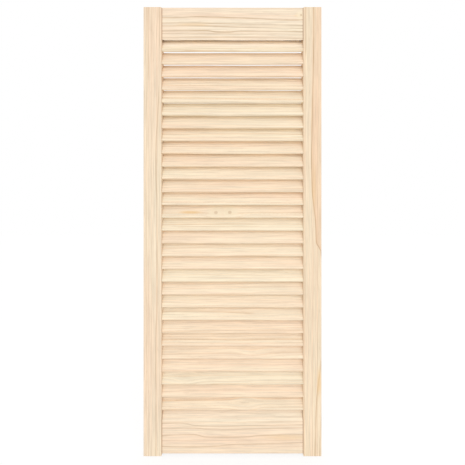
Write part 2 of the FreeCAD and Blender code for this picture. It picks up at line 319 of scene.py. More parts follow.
class Wiring:
    """Puts nodes into one tree: a plain value is set on an input, and a socket is linked to it."""

    def __init__(self, tree):
        self.tree = tree

    def feed(self, socket, value):
        if isinstance(value, bpy.types.NodeSocket):
            self.tree.links.new(value, socket)
        else:
            socket.default_value = value

    def add(self, kind, inputs=None, **settings):
        node = self.tree.nodes.new(kind)
        for name, value in settings.items():
            setattr(node, name, value)
        for key, value in (inputs or {}).items():
            self.feed(node.inputs[key], value)
        return node

    def math(self, operation, first, second=0.0, third=0.0):
        inputs = {0: first, 1: second, 2: third}
        return self.add("ShaderNodeMath", inputs, operation=operation).outputs[0]

    def vector(self, operation, first, second=(0.0, 0.0, 0.0)):
        node = self.add("ShaderNodeVectorMath", {0: first, 1: second}, operation=operation)
        return node.outputs["Value" if operation == "LENGTH" else "Vector"]

    def scaled(self, vector, factor):
        inputs = {"Vector": vector, "Scale": factor}
        return self.add("ShaderNodeVectorMath", inputs, operation="SCALE").outputs["Vector"]

    def split(self, vector):
        return self.add("ShaderNodeSeparateXYZ", {0: vector}).outputs[:]

    def join(self, x, y, z):
        return self.add("ShaderNodeCombineXYZ", {0: x, 1: y, 2: z}).outputs[0]

    def fit(self, value, low, high, start, end, **settings):
        """A value moved evenly from one span to another, and held at its ends."""
        inputs = {"Value": value, "From Min": low, "From Max": high, "To Min": start, "To Max": end}
        return self.add("ShaderNodeMapRange", inputs, **settings).outputs["Result"]

    def ramp(self, value, low, high, start=0.0, end=1.0):
        """A value eased from start to end over a span, and held there."""
        return self.fit(value, low, high, start, end, interpolation_type="SMOOTHSTEP")

    def noise(self, place, seed, detail=2.0, roughness=0.5):
        """Noise as one value and as a colour."""
        inputs = {"Vector": place, "W": seed, "Scale": 1.0, "Detail": detail, "Roughness": roughness}
        return self.add("ShaderNodeTexNoise", inputs, noise_dimensions="4D").outputs

    def pattern(self, place, counts, seed, **settings):
        """Noise that changes as often in a metre as counts says, along, across and deep."""
        return self.noise(self.vector("MULTIPLY", place, counts), seed, **settings)[0]

    def swing(self, place, counts, seed, **settings):
        """A pattern that swings evenly round zero."""
        return self.math("SUBTRACT", self.pattern(place, counts, seed, **settings), 0.5)

    def sway(self, place, seed):
        """A push that swings evenly round zero in all three directions."""
        return self.vector("SUBTRACT", self.noise(place, seed, detail=1.0)[1], (0.5, 0.5, 0.5))

    def chance(self, value):
        """A value and a colour drawn by chance, the same for the same value."""
        return self.add("ShaderNodeTexWhiteNoise", {"W": value}, noise_dimensions="1D").outputs

    def mix(self, factor, first, second, blend="MIX"):
        inputs = {"Factor": factor, MIX_FIRST: first, MIX_SECOND: second}
        node = self.add("ShaderNodeMix", inputs, data_type="RGBA", blend_type=blend)
        return node.outputs[MIX_RESULT]

    def path(self, along, spots):
        """The level of a smooth line through spots (along, level), at each place along it."""
        first, last = spots[0][0], spots[-1][0]
        low = min(level for _, level in spots) - CURVE_MARGIN
        high = max(level for _, level in spots) + CURVE_MARGIN
        node = self.add("ShaderNodeFloatCurve", {"Value": self.fit(along, first, last, 0.0, 1.0)})
        points = node.mapping.curves[0].points
        shares = [((a - first) / (last - first), (level - low) / (high - low)) for a, level in spots]
        points[0].location, points[1].location = shares[0], shares[-1]
        for share in shares[1:-1]:
            points.new(*share)
        node.mapping.update()
        return self.math("MULTIPLY_ADD", node.outputs[0], high - low, low)

    def use(self, group, **inputs):
        """Places a node group, with each input given by its label in small letters."""
        node = self.add("ShaderNodeGroup", node_tree=group)
        for name, value in inputs.items():
            self.feed(node.inputs[name.replace("_", " ").title()], value)
        return node.outputs


def start_tree(owner):
    """Clears the nodes of a new material or world, and gives the wiring of its tree."""
    owner.use_nodes = True
    owner.node_tree.nodes.clear()
    return Wiring(owner.node_tree)


def place_object(name, data):
    """A new object in the scene, which holds a mesh, a lamp or a camera."""
    holder = bpy.data.objects.new(name, data)
    bpy.context.scene.collection.objects.link(holder)
    return holder


def new_group(name, inputs, outputs):
    """A shader node group: inputs by label with a starting value, outputs by label with a kind."""
    group = bpy.data.node_groups.new(name, "ShaderNodeTree")
    for label, value in inputs.items():
        kind = "NodeSocketFloat"
        if isinstance(value, tuple):
            kind = "NodeSocketColor" if len(value) == 4 else "NodeSocketVector"
        group.interface.new_socket(label, in_out="INPUT", socket_type=kind).default_value = value
    for label, kind in outputs.items():
        group.interface.new_socket(label, in_out="OUTPUT", socket_type="NodeSocket" + kind)
    wire = Wiring(group)
    given = wire.add("NodeGroupInput").outputs
    result = wire.add("NodeGroupOutput").inputs
    return group, wire, given, result


# Growth rings: patterns as counts in a metre, uneven widths, and the latewood's share of a ring
RING_DRIFT = (3.0, 16.0, 16.0)
RING_FLUTTER = (16.0, 60.0, 60.0)
FLUTTER_SHARE = 0.16
UNEVEN_STEP = 0.45
UNEVEN_RINGS = 2.4
RING_SEED_STEP = 7.3
LATEWOOD_SPAN = (0.30, 0.90)
LATEWOOD_CURVE = 1.6
RING_STOP = (0.92, 1.0)
FAINTEST_RING = 0.25


def make_growth_rings():
    """Growth rings round a pith that leans and wanders: dark latewood lines on pale earlywood."""
    group, wire, given, result = new_group(
        "growth_rings",
        {
            "Place": (0.0, 0.0, 0.0),
            "Pith Across": 0.1,
            "Pith Deep": 0.05,
            "Lean Across": 0.0,
            "Lean Deep": 0.0,
            "Ring Width": 0.007,
            "Wander": 0.004,
            "Seed": 0.0,
        },
        {"Latewood": "Float", "Ring Tone": "Float"},
    )
    slow = wire.sway(wire.vector("MULTIPLY", given["Place"], RING_DRIFT), given["Seed"])
    quick = wire.sway(wire.vector("MULTIPLY", given["Place"], RING_FLUTTER), given["Seed"])
    drift = wire.scaled(slow, given["Wander"])
    flutter = wire.scaled(quick, wire.math("MULTIPLY", given["Wander"], FLUTTER_SHARE))
    bent = wire.vector("ADD", wire.vector("ADD", given["Place"], drift), flutter)
    along, across, deep = wire.split(bent)
    pith_across = wire.math("MULTIPLY_ADD", along, given["Lean Across"], given["Pith Across"])
    pith_deep = wire.math("MULTIPLY_ADD", along, given["Lean Deep"], given["Pith Deep"])
    reach = wire.join(
        0.0,
        wire.math("SUBTRACT", across, pith_across),
        wire.math("SUBTRACT", deep, pith_deep),
    )
    rings = wire.math("DIVIDE", wire.vector("LENGTH", reach), given["Ring Width"])
    uneven_place = wire.join(wire.math("MULTIPLY", rings, UNEVEN_STEP), 0.0, 0.0)
    uneven = wire.noise(uneven_place, given["Seed"], detail=0.0)[0]
    rings = wire.math("MULTIPLY_ADD", uneven, UNEVEN_RINGS, rings)
    share = wire.math("FRACT", rings)
    number = wire.math("FLOOR", rings)
    strength = wire.chance(wire.math("MULTIPLY_ADD", given["Seed"], RING_SEED_STEP, number))["Value"]
    swell = wire.math("POWER", wire.ramp(share, *LATEWOOD_SPAN), LATEWOOD_CURVE)
    line = wire.math("MULTIPLY", swell, wire.ramp(share, *RING_STOP, 1.0, 0.0))
    shown = wire.ramp(strength, 0.0, 1.0, FAINTEST_RING, 1.0)
    wire.feed(result["Latewood"], wire.math("MULTIPLY", line, shown))
    wire.feed(result["Ring Tone"], strength)
    return group


# Fibres: patterns as counts in a metre, and the noise at which a resin canal shows
FIBRE_PATTERN = (14.0, 460.0, 460.0)
FIBRE_DETAIL = 4.0
FIBRE_ROUGHNESS = 0.62
CANAL_PATTERN = (60.0, 1500.0, 1500.0)
CANAL_LEVELS = (0.70, 0.80)
TONE_PATTERN = (3.0, 34.0, 34.0)


def make_wood_fibre():
    """Fine fibres and short resin canals that run along a board, and a slow drift of tone."""
    group, wire, given, result = new_group(
        "wood_fibre",
        {"Place": (0.0, 0.0, 0.0), "Seed": 0.0},
        {"Fibre": "Float", "Canals": "Float", "Drift": "Float"},
    )
    place, seed = given["Place"], given["Seed"]
    fibre = wire.pattern(place, FIBRE_PATTERN, seed, detail=FIBRE_DETAIL, roughness=FIBRE_ROUGHNESS)
    canal = wire.pattern(place, CANAL_PATTERN, seed, detail=0.0)
    wire.feed(result["Fibre"], fibre)
    wire.feed(result["Canals"], wire.ramp(canal, *CANAL_LEVELS))
    wire.feed(result["Drift"], wire.pattern(place, TONE_PATTERN, seed))
    return group


# Amber streaks: how ragged the ends are, and the share of the reach over which they fade
FEATHER_PATTERN = (20.0, 420.0, 420.0)
FEATHER_DEPTH = 1.1
STREAK_EDGE = (0.30, 1.05)


def make_amber_streak():
    """A long resin-rich streak with feathered ends, centred on one spot of a board."""
    group, wire, given, result = new_group(
        "amber_streak",
        {
            "Place": (0.0, 0.0, 0.0),
            "Centre": (0.0, 0.0, 0.0),
            "Reach": (0.05, 0.004, 0.03),
            "Seed": 0.0,
        },
        {"Streak": "Float"},
    )
    away = wire.vector("SUBTRACT", given["Place"], given["Centre"])
    share = wire.vector("LENGTH", wire.vector("DIVIDE", away, given["Reach"]))
    feather = wire.swing(given["Place"], FEATHER_PATTERN, given["Seed"])
    share = wire.math("MULTIPLY_ADD", feather, FEATHER_DEPTH, share)
    wire.feed(result["Streak"], wire.ramp(share, *STREAK_EDGE, 1.0, 0.0))
    return group


# Growth lines: how ragged they are, in metres, and how they come and go along the board
RAGGED_PATTERN = (30.0, 500.0, 500.0)
RAGGED_WIDTH = 0.0006
SOFT_CURVE = 1.5
FADING_PATTERN = (11.0, 0.0, 0.0)
FADING_LEVELS = (0.3, 0.6)
FAINTEST_LINE = 0.55


def make_grain_line():
    """One strong growth line: sharp on one side, soft on the other, where a tint spreads past it."""
    group, wire, given, result = new_group(
        "grain_line",
        {
            "Place": (0.0, 0.0, 0.0),
            "Offset": 0.0,
            "Inside": 1.0,
            "Sharp Width": 0.0008,
            "Soft Width": 0.003,
            "Tint Width": 0.012,
            "Seed": 0.0,
        },
        {"Line": "Float", "Tint": "Float"},
    )
    ragged = wire.swing(given["Place"], RAGGED_PATTERN, given["Seed"], detail=1.0)
    offset = wire.math("MULTIPLY_ADD", ragged, RAGGED_WIDTH, given["Offset"])
    sharp = wire.ramp(offset, wire.math("MULTIPLY", given["Sharp Width"], -1.0), 0.0)
    soft = wire.math("POWER", wire.ramp(offset, 0.0, given["Soft Width"], 1.0, 0.0), SOFT_CURVE)
    waxing = wire.pattern(given["Place"], FADING_PATTERN, given["Seed"], detail=1.0)
    fading = wire.ramp(waxing, *FADING_LEVELS, FAINTEST_LINE, 1.0)
    there = wire.math("MULTIPLY", given["Inside"], sharp)
    wire.feed(result["Line"], wire.math("MULTIPLY", wire.math("MULTIPLY", there, soft), fading))
    spread = wire.ramp(offset, 0.0, given["Tint Width"], 1.0, 0.0)
    wire.feed(result["Tint"], wire.math("MULTIPLY", there, spread))
    return group


# Knots: shape as shares of the radius, edges in radii, and how the grain parts round the heart
KNOT_SHAPE = (0.90, 0.90, 0.15)
KNOT_PATTERN = (900.0, 900.0, 900.0)
KNOT_RAGGED = 0.7
HEART_EDGE = (0.35, 1.0)
COLLAR_INNER = (0.7, 1.2)
COLLAR_OUTER = (1.2, 2.2)
COLLAR_DARK = 0.15
HALO_EDGE = (1.2, 4.4)
PARTING_SHAPE = (0.22, 0.45, 0.1)
PARTING_PULL = (0.0, -0.75, 0.0)


def make_pin_knot():
    """A small knot: a dark heart, a ring round it, and grain that parts to flow past it."""
    group, wire, given, result = new_group(
        "pin_knot",
        {"Place": (0.0, 0.0, 0.0), "Centre": (0.0, 0.0, 0.0), "Radius": 0.003},
        {"Knot": "Float", "Halo": "Float", "Parted Place": "Vector"},
    )
    away = wire.vector("SUBTRACT", given["Place"], given["Centre"])
    per_radius = wire.math("DIVIDE", 1.0, given["Radius"])
    distance = wire.vector("LENGTH", wire.scaled(wire.vector("MULTIPLY", away, KNOT_SHAPE), per_radius))
    ragged = wire.swing(given["Place"], KNOT_PATTERN, 0.0)
    edge = wire.math("MULTIPLY_ADD", ragged, KNOT_RAGGED, distance)
    heart = wire.ramp(edge, *HEART_EDGE, 1.0, 0.0)
    collar_end = wire.ramp(edge, *COLLAR_OUTER, COLLAR_DARK, 0.0)
    collar = wire.math("MULTIPLY", wire.ramp(edge, *COLLAR_INNER), collar_end)
    wire.feed(result["Knot"], wire.math("MAXIMUM", heart, collar))
    wire.feed(result["Halo"], wire.ramp(edge, *HALO_EDGE, 1.0, 0.0))
    spread = wire.vector("LENGTH", wire.scaled(wire.vector("MULTIPLY", away, PARTING_SHAPE), per_radius))
    nearness = wire.math("EXPONENT", wire.math("MULTIPLY", wire.math("POWER", spread, 2.0), -1.0))
    pulled = wire.scaled(wire.vector("MULTIPLY", away, PARTING_PULL), nearness)
    wire.feed(result["Parted Place"], wire.vector("ADD", given["Place"], pulled))
    return group


# Eased edges: the share of the edge's width over which it fades
EDGE_FADE = (0.2, 1.0)


def make_eased_edge():
    """How near a spot is to a board's long arrises, where sanding leaves a paler, smoother line."""
    group, wire, given, result = new_group(
        "eased_edge",
        {"Place": (0.0, 0.0, 0.0), "Half Size": (0.5, 0.02, 0.01), "Width": 0.003},
        {"Edge": "Float"},
    )
    inset = wire.vector("SUBTRACT", given["Half Size"], wire.vector("ABSOLUTE", given["Place"]))
    _, across, deep = wire.split(inset)
    nearness = wire.math("DIVIDE", wire.math("MAXIMUM", across, deep), given["Width"])
    wire.feed(result["Edge"], wire.ramp(nearness, *EDGE_FADE, 1.0, 0.0))
    return group


# Pine tint: how far drift and rings warm the wood, how strongly each part shows, its gloss and height
DRIFT_WARMTH = 1.8
RING_WARMTH = 0.24
FIBRE_LEVELS = (0.25, 0.75)
FIBRE_SHADES = (0.85, 1.115)
STREAK_SHOWN = 0.8
CANALS_SHOWN = 0.22
HALO_SHOWN = 0.8
EDGE_SHOWN = 0.10
ROUGH_LEVELS = (0.2, 0.8)
ROUGH_RANGE = (0.50, 0.68)
LATEWOOD_ROUGHNESS = -0.10
KNOT_ROUGHNESS = -0.15
EDGE_ROUGHNESS = -0.06
LATEWOOD_HEIGHT = 0.5
CANAL_HEIGHT = -0.5
KNOT_HEIGHT = 0.6


def make_pine_tint():
    """Bare pine from its parts: colour, roughness and the height of its grain."""
    group, wire, given, result = new_group(
        "pine_tint",
        {
            "Earlywood Colour": EARLYWOOD,
            "Peach Colour": PEACH,
            "Latewood Colour": LATEWOOD,
            "Amber Colour": AMBER,
            "Resin Colour": RESIN,
            "Knot Colour": KNOT,
            "Shaded Colour": PAINTED_FILL,
            "Line Colour": GRAIN_LINE,
            "Joint Dust And Shade Colour": JOINT_DUST_AND_SHADE,
            "Field Colour": WARM_FIELD,
            "Tone Colour": WHITE,
            "Latewood": 0.0,
            "Line": 0.0,
            "Ring Tone": 0.5,
            "Fibre": 0.5,
            "Canals": 0.0,
            "Drift": 0.5,
            "Field": 0.0,
            "Streak": 0.0,
            "Knot": 0.0,
            "Halo": 0.0,
            "Edge": 0.0,
            "Seat": 0.0,
            "Shelter": 0.0,
            "Blush": 0.5,
            "Figure": 0.4,
        },
        {"Colour": "Color", "Roughness": "Float", "Height": "Float"},
    )
    drifted = wire.math("MULTIPLY_ADD", given["Drift"], DRIFT_WARMTH, -DRIFT_WARMTH / 2)
    ringed = wire.math("MULTIPLY_ADD", given["Ring Tone"], RING_WARMTH, -RING_WARMTH / 2)
    warmth = wire.math("ADD", wire.math("ADD", given["Blush"], drifted), ringed)
    colour = wire.mix(wire.ramp(warmth, 0.0, 1.0), given["Earlywood Colour"], given["Peach Colour"])
    figured = wire.math("MULTIPLY", given["Latewood"], given["Figure"])
    colour = wire.mix(figured, colour, given["Latewood Colour"])
    colour = wire.mix(given["Field"], colour, given["Field Colour"])
    colour = wire.mix(given["Line"], colour, given["Line Colour"])
    colour = wire.mix(1.0, colour, given["Tone Colour"], "MULTIPLY")
    # Painted fill light: a paler colour mixed in where shade falls, standing in for light.
    colour = wire.mix(given["Shelter"], colour, given["Shaded Colour"])
    shade = wire.ramp(given["Fibre"], *FIBRE_LEVELS, *FIBRE_SHADES)
    colour = wire.mix(1.0, colour, wire.join(shade, shade, shade), "MULTIPLY")
    layers = (
        (wire.math("MULTIPLY", given["Streak"], STREAK_SHOWN), "Amber Colour"),
        (wire.math("MULTIPLY", given["Canals"], CANALS_SHOWN), "Resin Colour"),
        (wire.math("MULTIPLY", given["Halo"], HALO_SHOWN), "Earlywood Colour"),
        (given["Knot"], "Knot Colour"),
        (wire.math("MULTIPLY", given["Edge"], EDGE_SHOWN), "Earlywood Colour"),
        # Glue and dust with painted shade where a board enters a stile.
        (given["Seat"], "Joint Dust And Shade Colour"),
    )
    for share, label in layers:
        colour = wire.mix(share, colour, given[label])
    wire.feed(result["Colour"], colour)
    roughness = wire.ramp(given["Fibre"], *ROUGH_LEVELS, *ROUGH_RANGE)
    roughness = wire.math("MULTIPLY_ADD", given["Latewood"], LATEWOOD_ROUGHNESS, roughness)
    roughness = wire.math("MULTIPLY_ADD", given["Knot"], KNOT_ROUGHNESS, roughness)
    roughness = wire.math("MULTIPLY_ADD", given["Edge"], EDGE_ROUGHNESS, roughness)
    wire.feed(result["Roughness"], roughness)
    height = wire.math("MULTIPLY_ADD", given["Latewood"], LATEWOOD_HEIGHT, given["Fibre"])
    height = wire.math("MULTIPLY_ADD", given["Canals"], CANAL_HEIGHT, height)
    wire.feed(result["Height"], wire.math("MULTIPLY_ADD", given["Knot"], KNOT_HEIGHT, height))
    return group


growth_rings = make_growth_rings()
wood_fibre = make_wood_fibre()
amber_streak = make_amber_streak()
grain_line = make_grain_line()
pin_knot = make_pin_knot()
eased_edge = make_eased_edge()
pine_tint = make_pine_tint()


def is_slat(wire, number, slat):
    """One on the slat asked for, counted from 1 at the top, and nothing on the others."""
    return wire.math("COMPARE", number, slat - 1.0, 0.5)


def mark_centre(wire, spot, board, mark):
    """A mark's middle on the front of its board, far off every slat but the one that has it."""
    along, across = mark["at"]
    if "slat" in mark:
        elsewhere = wire.math("SUBTRACT", 1.0, is_slat(wire, spot["number"], mark["slat"]))
        along = wire.math("MULTIPLY_ADD", elsewhere, FAR_AWAY, along)
    return wire.join(along, across, -board["half_size"][2])


def add_knots(wire, spot, board):
    """Small knots, and swirls with no knot in them, with the grain parted round them."""
    ring_place = spot["place"]
    knots, halos = 0.0, 0.0
    for mark in board.get("knots", ()):
        centre = mark_centre(wire, spot, board, mark)
        knot = wire.use(pin_knot, place=spot["place"], centre=centre, radius=mark["radius"])
        parted = wire.vector("SUBTRACT", knot["Parted Place"], spot["place"])
        ring_place = wire.vector("ADD", ring_place, parted)
        if "dark" in mark:
            knots = wire.math("MAXIMUM", knots, wire.math("MULTIPLY", knot["Knot"], mark["dark"]))
            halos = wire.math("MAXIMUM", halos, knot["Halo"])
    return ring_place, knots, halos


def add_streaks(wire, spot, board):
    """All the amber streaks of a board, as one mask."""
    streaks = 0.0
    for mark in board.get("streaks", ()):
        streak = wire.use(
            amber_streak,
            place=spot["place"],
            centre=mark_centre(wire, spot, board, mark),
            reach=(*mark["reach"], STREAK_DEPTH),
            seed=spot["seed"],
        )
        streaks = wire.math("MAXIMUM", streaks, wire.math("MULTIPLY", streak["Streak"], mark["amber"]))
    return streaks


def add_lines(wire, spot, board):
    """Strong growth lines that slant through the board, and the warmer wood beside some of them."""
    lines, fields = 0.0, 0.0
    along, across, deep = wire.split(spot["place"])
    depth = wire.math("ADD", deep, board["half_size"][2])
    for own_values in board.get("lines", ()):
        mark = {**PLAIN_LINE, **own_values}
        start, end = mark["path"][0][0], mark["path"][-1][0]
        inside = wire.math(
            "MULTIPLY",
            wire.ramp(along, start - LINE_FADE, start),
            wire.ramp(along, end, end + LINE_FADE, 1.0, 0.0),
        )
        if "slat" in mark:
            inside = wire.math("MULTIPLY", inside, is_slat(wire, spot["number"], mark["slat"]))
        level = wire.math("MULTIPLY_ADD", depth, mark["slant"], wire.path(along, mark["path"]))
        line = wire.use(
            grain_line,
            place=spot["place"],
            offset=wire.math("MULTIPLY", wire.math("SUBTRACT", across, level), mark["side"]),
            inside=inside,
            sharp_width=mark["sharp"],
            soft_width=mark["soft"],
            tint_width=mark["tint_width"],
            seed=spot["seed"],
        )
        lines = wire.math("MAXIMUM", lines, wire.math("MULTIPLY", line["Line"], mark["dark"]))
        if "tint" in mark:
            tint = mark["tint"]
            if "tint_fade" in mark:
                tint = wire.ramp(along, *mark["tint_fade"], tint, FADED_TINT * tint)
            fields = wire.math("MAXIMUM", fields, wire.math("MULTIPLY", line["Tint"], tint))
    return lines, fields


def board_tone(wire, spot, board):
    """A board's own tone, with painted light that pales a stile towards its foot, and painted shade that
    darkens a slat's front nose.
    """
    along, across, _ = wire.split(spot["place"])
    if "foot_painted_light" in board:
        # Painted light: a stile painted paler towards its foot.
        return wire.mix(wire.ramp(along, *FOOT_LIGHT_SPAN), board["foot_painted_light"], board["tone"])
    if "nose_painted_shade" in board:
        # Painted shade: the underside of a slat's front nose is painted darker.
        nose = -board["half_size"][1]
        return wire.mix(wire.ramp(across, nose, nose + NOSE_SHADE_DEPTH), board["nose_painted_shade"], board["tone"])
    return board["tone"]


def pine_material(name, find_spot, board):
    """A pine board: find_spot gives the place along, across and deep in it, and how it was cut."""
    material = bpy.data.materials.new(name)
    wire = start_tree(material)
    shader = wire.add("ShaderNodeBsdfPrincipled", {"Specular IOR Level": SPECULAR})
    wire.add("ShaderNodeOutputMaterial", {"Surface": shader.outputs[0]})
    spot = find_spot(wire, board)
    ring_place, knots, halos = add_knots(wire, spot, board)
    streaks = add_streaks(wire, spot, board)
    lines, fields = add_lines(wire, spot, board)
    rings = wire.use(
        growth_rings,
        place=ring_place,
        seed=spot["seed"],
        pith_across=spot["pith"][0],
        pith_deep=spot["pith"][1],
        lean_across=spot["lean"][0],
        lean_deep=spot["lean"][1],
        ring_width=board["ring_width"],
        wander=board["wander"],
    )
    fibre = wire.use(wood_fibre, place=ring_place, seed=spot["seed"])
    edge = wire.use(eased_edge, place=spot["place"], half_size=board["half_size"], width=board["edge"])
    tint = wire.use(
        pine_tint,
        shaded_colour=spot["shaded"],
        tone_colour=board_tone(wire, spot, board),
        latewood=rings["Latewood"],
        line=lines,
        ring_tone=rings["Ring Tone"],
        fibre=fibre["Fibre"],
        canals=fibre["Canals"],
        drift=fibre["Drift"],
        field=fields,
        streak=streaks,
        knot=knots,
        halo=halos,
        edge=edge["Edge"],
        seat=spot["seat"],
        shelter=spot["shelter"],
        blush=spot["blush"],
        figure=spot["figure"],
    )
    bump = wire.add(
        "ShaderNodeBump",
        {"Strength": BUMP_STRENGTH, "Distance": BUMP_DISTANCE, "Height": tint["Height"]},
    )
    wire.feed(shader.inputs["Base Color"], tint["Colour"])
    wire.feed(shader.inputs["Roughness"], tint["Roughness"])
    wire.feed(shader.inputs["Normal"], bump.outputs["Normal"])
    return material


def joint_dust_and_shade_mask(wire, along, strength):
    """The narrow dark joint where a rail or a slat enters a stile: glue and dust, with painted shade of
    the gap.
    """
    shade_start = clear_half - JOINT_SHADE_WIDTH
    shade_full = clear_half - JOINT_SHADE_FULL * JOINT_SHADE_WIDTH
    return wire.ramp(wire.math("ABSOLUTE", along), shade_start, shade_full, 0.0, strength)


def stile_spot(wire, board):
    """Along a stile is up the door, across is its width and deep its thickness."""
    x, y, z = wire.split(wire.add("ShaderNodeTexCoord").outputs["Object"])
    across = wire.math("SUBTRACT", x, board["middle"].x)
    return dict(board, place=wire.join(z, across, y), seat=0.0, shelter=0.0, shaded=PAINTED_FILL)


def rail_spot(wire, board):
    """Along a rail is across the door, across is its height and deep its thickness."""
    x, y, z = wire.split(wire.add("ShaderNodeTexCoord").outputs["Object"])
    along = wire.math("SUBTRACT", x, board["middle"].x)
    across = wire.math("SUBTRACT", z, board["middle"].z)
    shelter = 0.0
    # Painted fill light: the top rail's bevelled underside is painted paler, where shade falls in the
    # crevice above the first slat.
    if "underside_slope" in board:
        _, half_height, half_depth = board["half_size"]
        from_front = wire.math("ADD", y, half_depth)
        underside = wire.math("MULTIPLY_ADD", from_front, board["underside_slope"], -half_height)
        above = wire.math("SUBTRACT", across, underside)
        shelter = wire.ramp(above, *PAINTED_FILL_UNDERSIDE_SPAN, 1.0, 0.0)
    return dict(
        board,
        place=wire.join(along, across, y),
        seat=joint_dust_and_shade_mask(wire, along, RAIL_JOINT_SHADE),
        shelter=shelter,
        shaded=PAINTED_FILL_UNDER_RAIL,
    )


def slat_blush(wire, number, cut, board):
    """How peach a slat is: some were cut from paler boards, some from warmer ones."""
    draw = wire.math("FRACT", wire.math("MULTIPLY", cut, BLUSH_SPREAD))
    blush = wire.fit(draw, 0.0, 1.0, *board["blush"])
    for shift, slats in board["blush_shifts"].items():
        for slat in slats:
            blush = wire.math("MULTIPLY_ADD", is_slat(wire, number, slat), shift, blush)
    return blush


def slat_figure(wire, number, board):
    """How strongly the rings show on a slat: the plain ones were cut where the figure is faint."""
    figure = board["figure"]
    fainter = board["plain_figure"] - board["figure"]
    for slat in board["plain_slats"]:
        figure = wire.math("MULTIPLY_ADD", is_slat(wire, number, slat), fainter, figure)
    return figure


def slat_cutting(wire, cut, board):
    """The pith and lean of each slat's grain, drawn by chance from its cut."""
    side, depth, turn = wire.split(wire.chance(wire.math("MULTIPLY", cut, PITH_SPREAD))["Color"])
    hand_draw = wire.math("FRACT", wire.math("MULTIPLY", cut, HAND_SPREAD))
    handed = wire.math("SIGN", wire.math("SUBTRACT", hand_draw, 0.5))
    pith_across, pith_deep = board["pith"]
    lean_across, lean_deep = board["lean"]
    across = wire.fit(side, 0.0, 1.0, NEAREST_PITH[0] * pith_across, pith_across)
    deep = wire.fit(depth, 0.0, 1.0, NEAREST_PITH[1] * pith_deep, pith_deep)
    pith = (wire.math("MULTIPLY", handed, across), deep)
    lean = (wire.fit(turn, 0.0, 1.0, -lean_across, lean_across), lean_deep)
    return pith, lean


def slat_spot(wire, board):
    """Each slat carries its own place and number, and a cut that turns its grain and its tone."""
    place = wire.add("ShaderNodeAttribute", attribute_name="slat_place").outputs["Vector"]
    cut = wire.add("ShaderNodeAttribute", attribute_name="slat_cut").outputs["Fac"]
    number = wire.add("ShaderNodeAttribute", attribute_name="slat_number").outputs["Fac"]
    along, across, _ = wire.split(place)
    pith, lean = slat_cutting(wire, cut, board)
    first = is_slat(wire, number, 1)
    # Painted fill light: the first slat's upper part under the top rail, and the top of every slat's
    # face where the slat above casts shade, are painted paler.
    painted_fill_under_rail = wire.ramp(across, *PAINTED_FILL_UNDER_RAIL_SPAN, 0.0, PAINTED_FILL_UNDER_RAIL_SHARE)
    painted_fill_on_face = wire.ramp(across, *PAINTED_FILL_FACE_SPAN, 0.0, PAINTED_FILL_FACE_SHARE)
    return {
        "place": place,
        "number": number,
        "seed": wire.math("MULTIPLY", cut, SEED_SPREAD),
        "blush": slat_blush(wire, number, cut, board),
        "figure": slat_figure(wire, number, board),
        "pith": pith,
        "lean": lean,
        "seat": joint_dust_and_shade_mask(wire, along, SLAT_JOINT_SHADE),
        "shelter": wire.math("MAXIMUM", painted_fill_on_face, wire.math("MULTIPLY", first, painted_fill_under_rail)),
        "shaded": wire.mix(first, PAINTED_FILL, PAINTED_FILL_UNDER_RAIL),
    }


def board_sizes(node):
    """The middle of a board, and half of its size each way."""
    low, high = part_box(node)
    return (low + high) / 2, (high - low) / 2


def make_pine_finishes():
    """One pine for each board, with its own pith, rings and marks."""
    finishes = {}
    for node, values in STILES.items():
        middle, half = board_sizes(node)
        board = dict(values, middle=middle, half_size=(half.z, half.x, half.y), edge=STILE_EDGE)
        finishes[node] = pine_material(node + "_pine", stile_spot, board)
    for node, values in RAILS.items():
        middle, half = board_sizes(node)
        board = dict(values, middle=middle, half_size=(half.x, half.z, half.y), edge=THIN_EDGE)
        finishes[node] = pine_material(node + "_pine", rail_spot, board)
    half_size = (slat_length / 2, slat_width / 2, slat_thickness / 2)
    board = dict(SLATS, half_size=half_size, edge=THIN_EDGE)
    finishes["slats"] = pine_material("slat_pine", slat_spot, board)
    return finishes


def keep_value(wire, shape, name, value, kind, domain):
    """Stores a value on a shape under a name, where the finish reads it."""
    node = wire.add(
        "GeometryNodeStoreNamedAttribute",
        {"Geometry": shape, "Name": name, "Value": value},
        data_type=kind,
        domain=domain,
    )
    return node.outputs[0]


def slat_section(wire, given):
    """The rounded section of a slat: a circle whose two halves are drawn apart."""
    circle = wire.add("GeometryNodeCurvePrimitiveCircle", {"Resolution": SECTION_STEPS})
    wire.feed(circle.inputs["Radius"], wire.math("MULTIPLY", given["Thickness"], 0.5))
    turned = wire.add("GeometryNodeTransform", {"Geometry": circle.outputs["Curve"]})
    turned.inputs["Rotation"].default_value = (0.0, 0.0, math.pi / SECTION_STEPS)
    _, section_y, _ = wire.split(wire.add("GeometryNodeInputPosition").outputs[0])
    half_flat = wire.math("MULTIPLY", wire.math("SUBTRACT", given["Width"], given["Thickness"]), 0.5)
    stretch = wire.math("MULTIPLY", wire.math("SIGN", section_y), half_flat)
    section = wire.add(
        "GeometryNodeSetPosition",
        {"Geometry": turned.outputs[0], "Offset": wire.join(0.0, stretch, 0.0)},
    )
    return section.outputs[0]


def whole_slat(wire, given, half_length):
    """One slat: its section swept along its length, with the place in the board kept on it."""
    line = wire.add(
        "GeometryNodeCurvePrimitiveLine",
        {
            "Start": wire.join(wire.math("MULTIPLY", half_length, -1.0), 0.0, 0.0),
            "End": wire.join(half_length, 0.0, 0.0),
        },
    )
    steps = wire.add("GeometryNodeResampleCurve", {"Curve": line.outputs[0], "Count": LENGTH_STEPS})
    swept = wire.add(
        "GeometryNodeCurveToMesh",
        {"Curve": steps.outputs[0], "Profile Curve": slat_section(wire, given), "Fill Caps": True},
    )
    x, y, z = wire.split(wire.add("GeometryNodeInputPosition").outputs[0])
    place = wire.join(x, z, y)
    return keep_value(wire, swept.outputs[0], "slat_place", place, "FLOAT_VECTOR", "POINT")


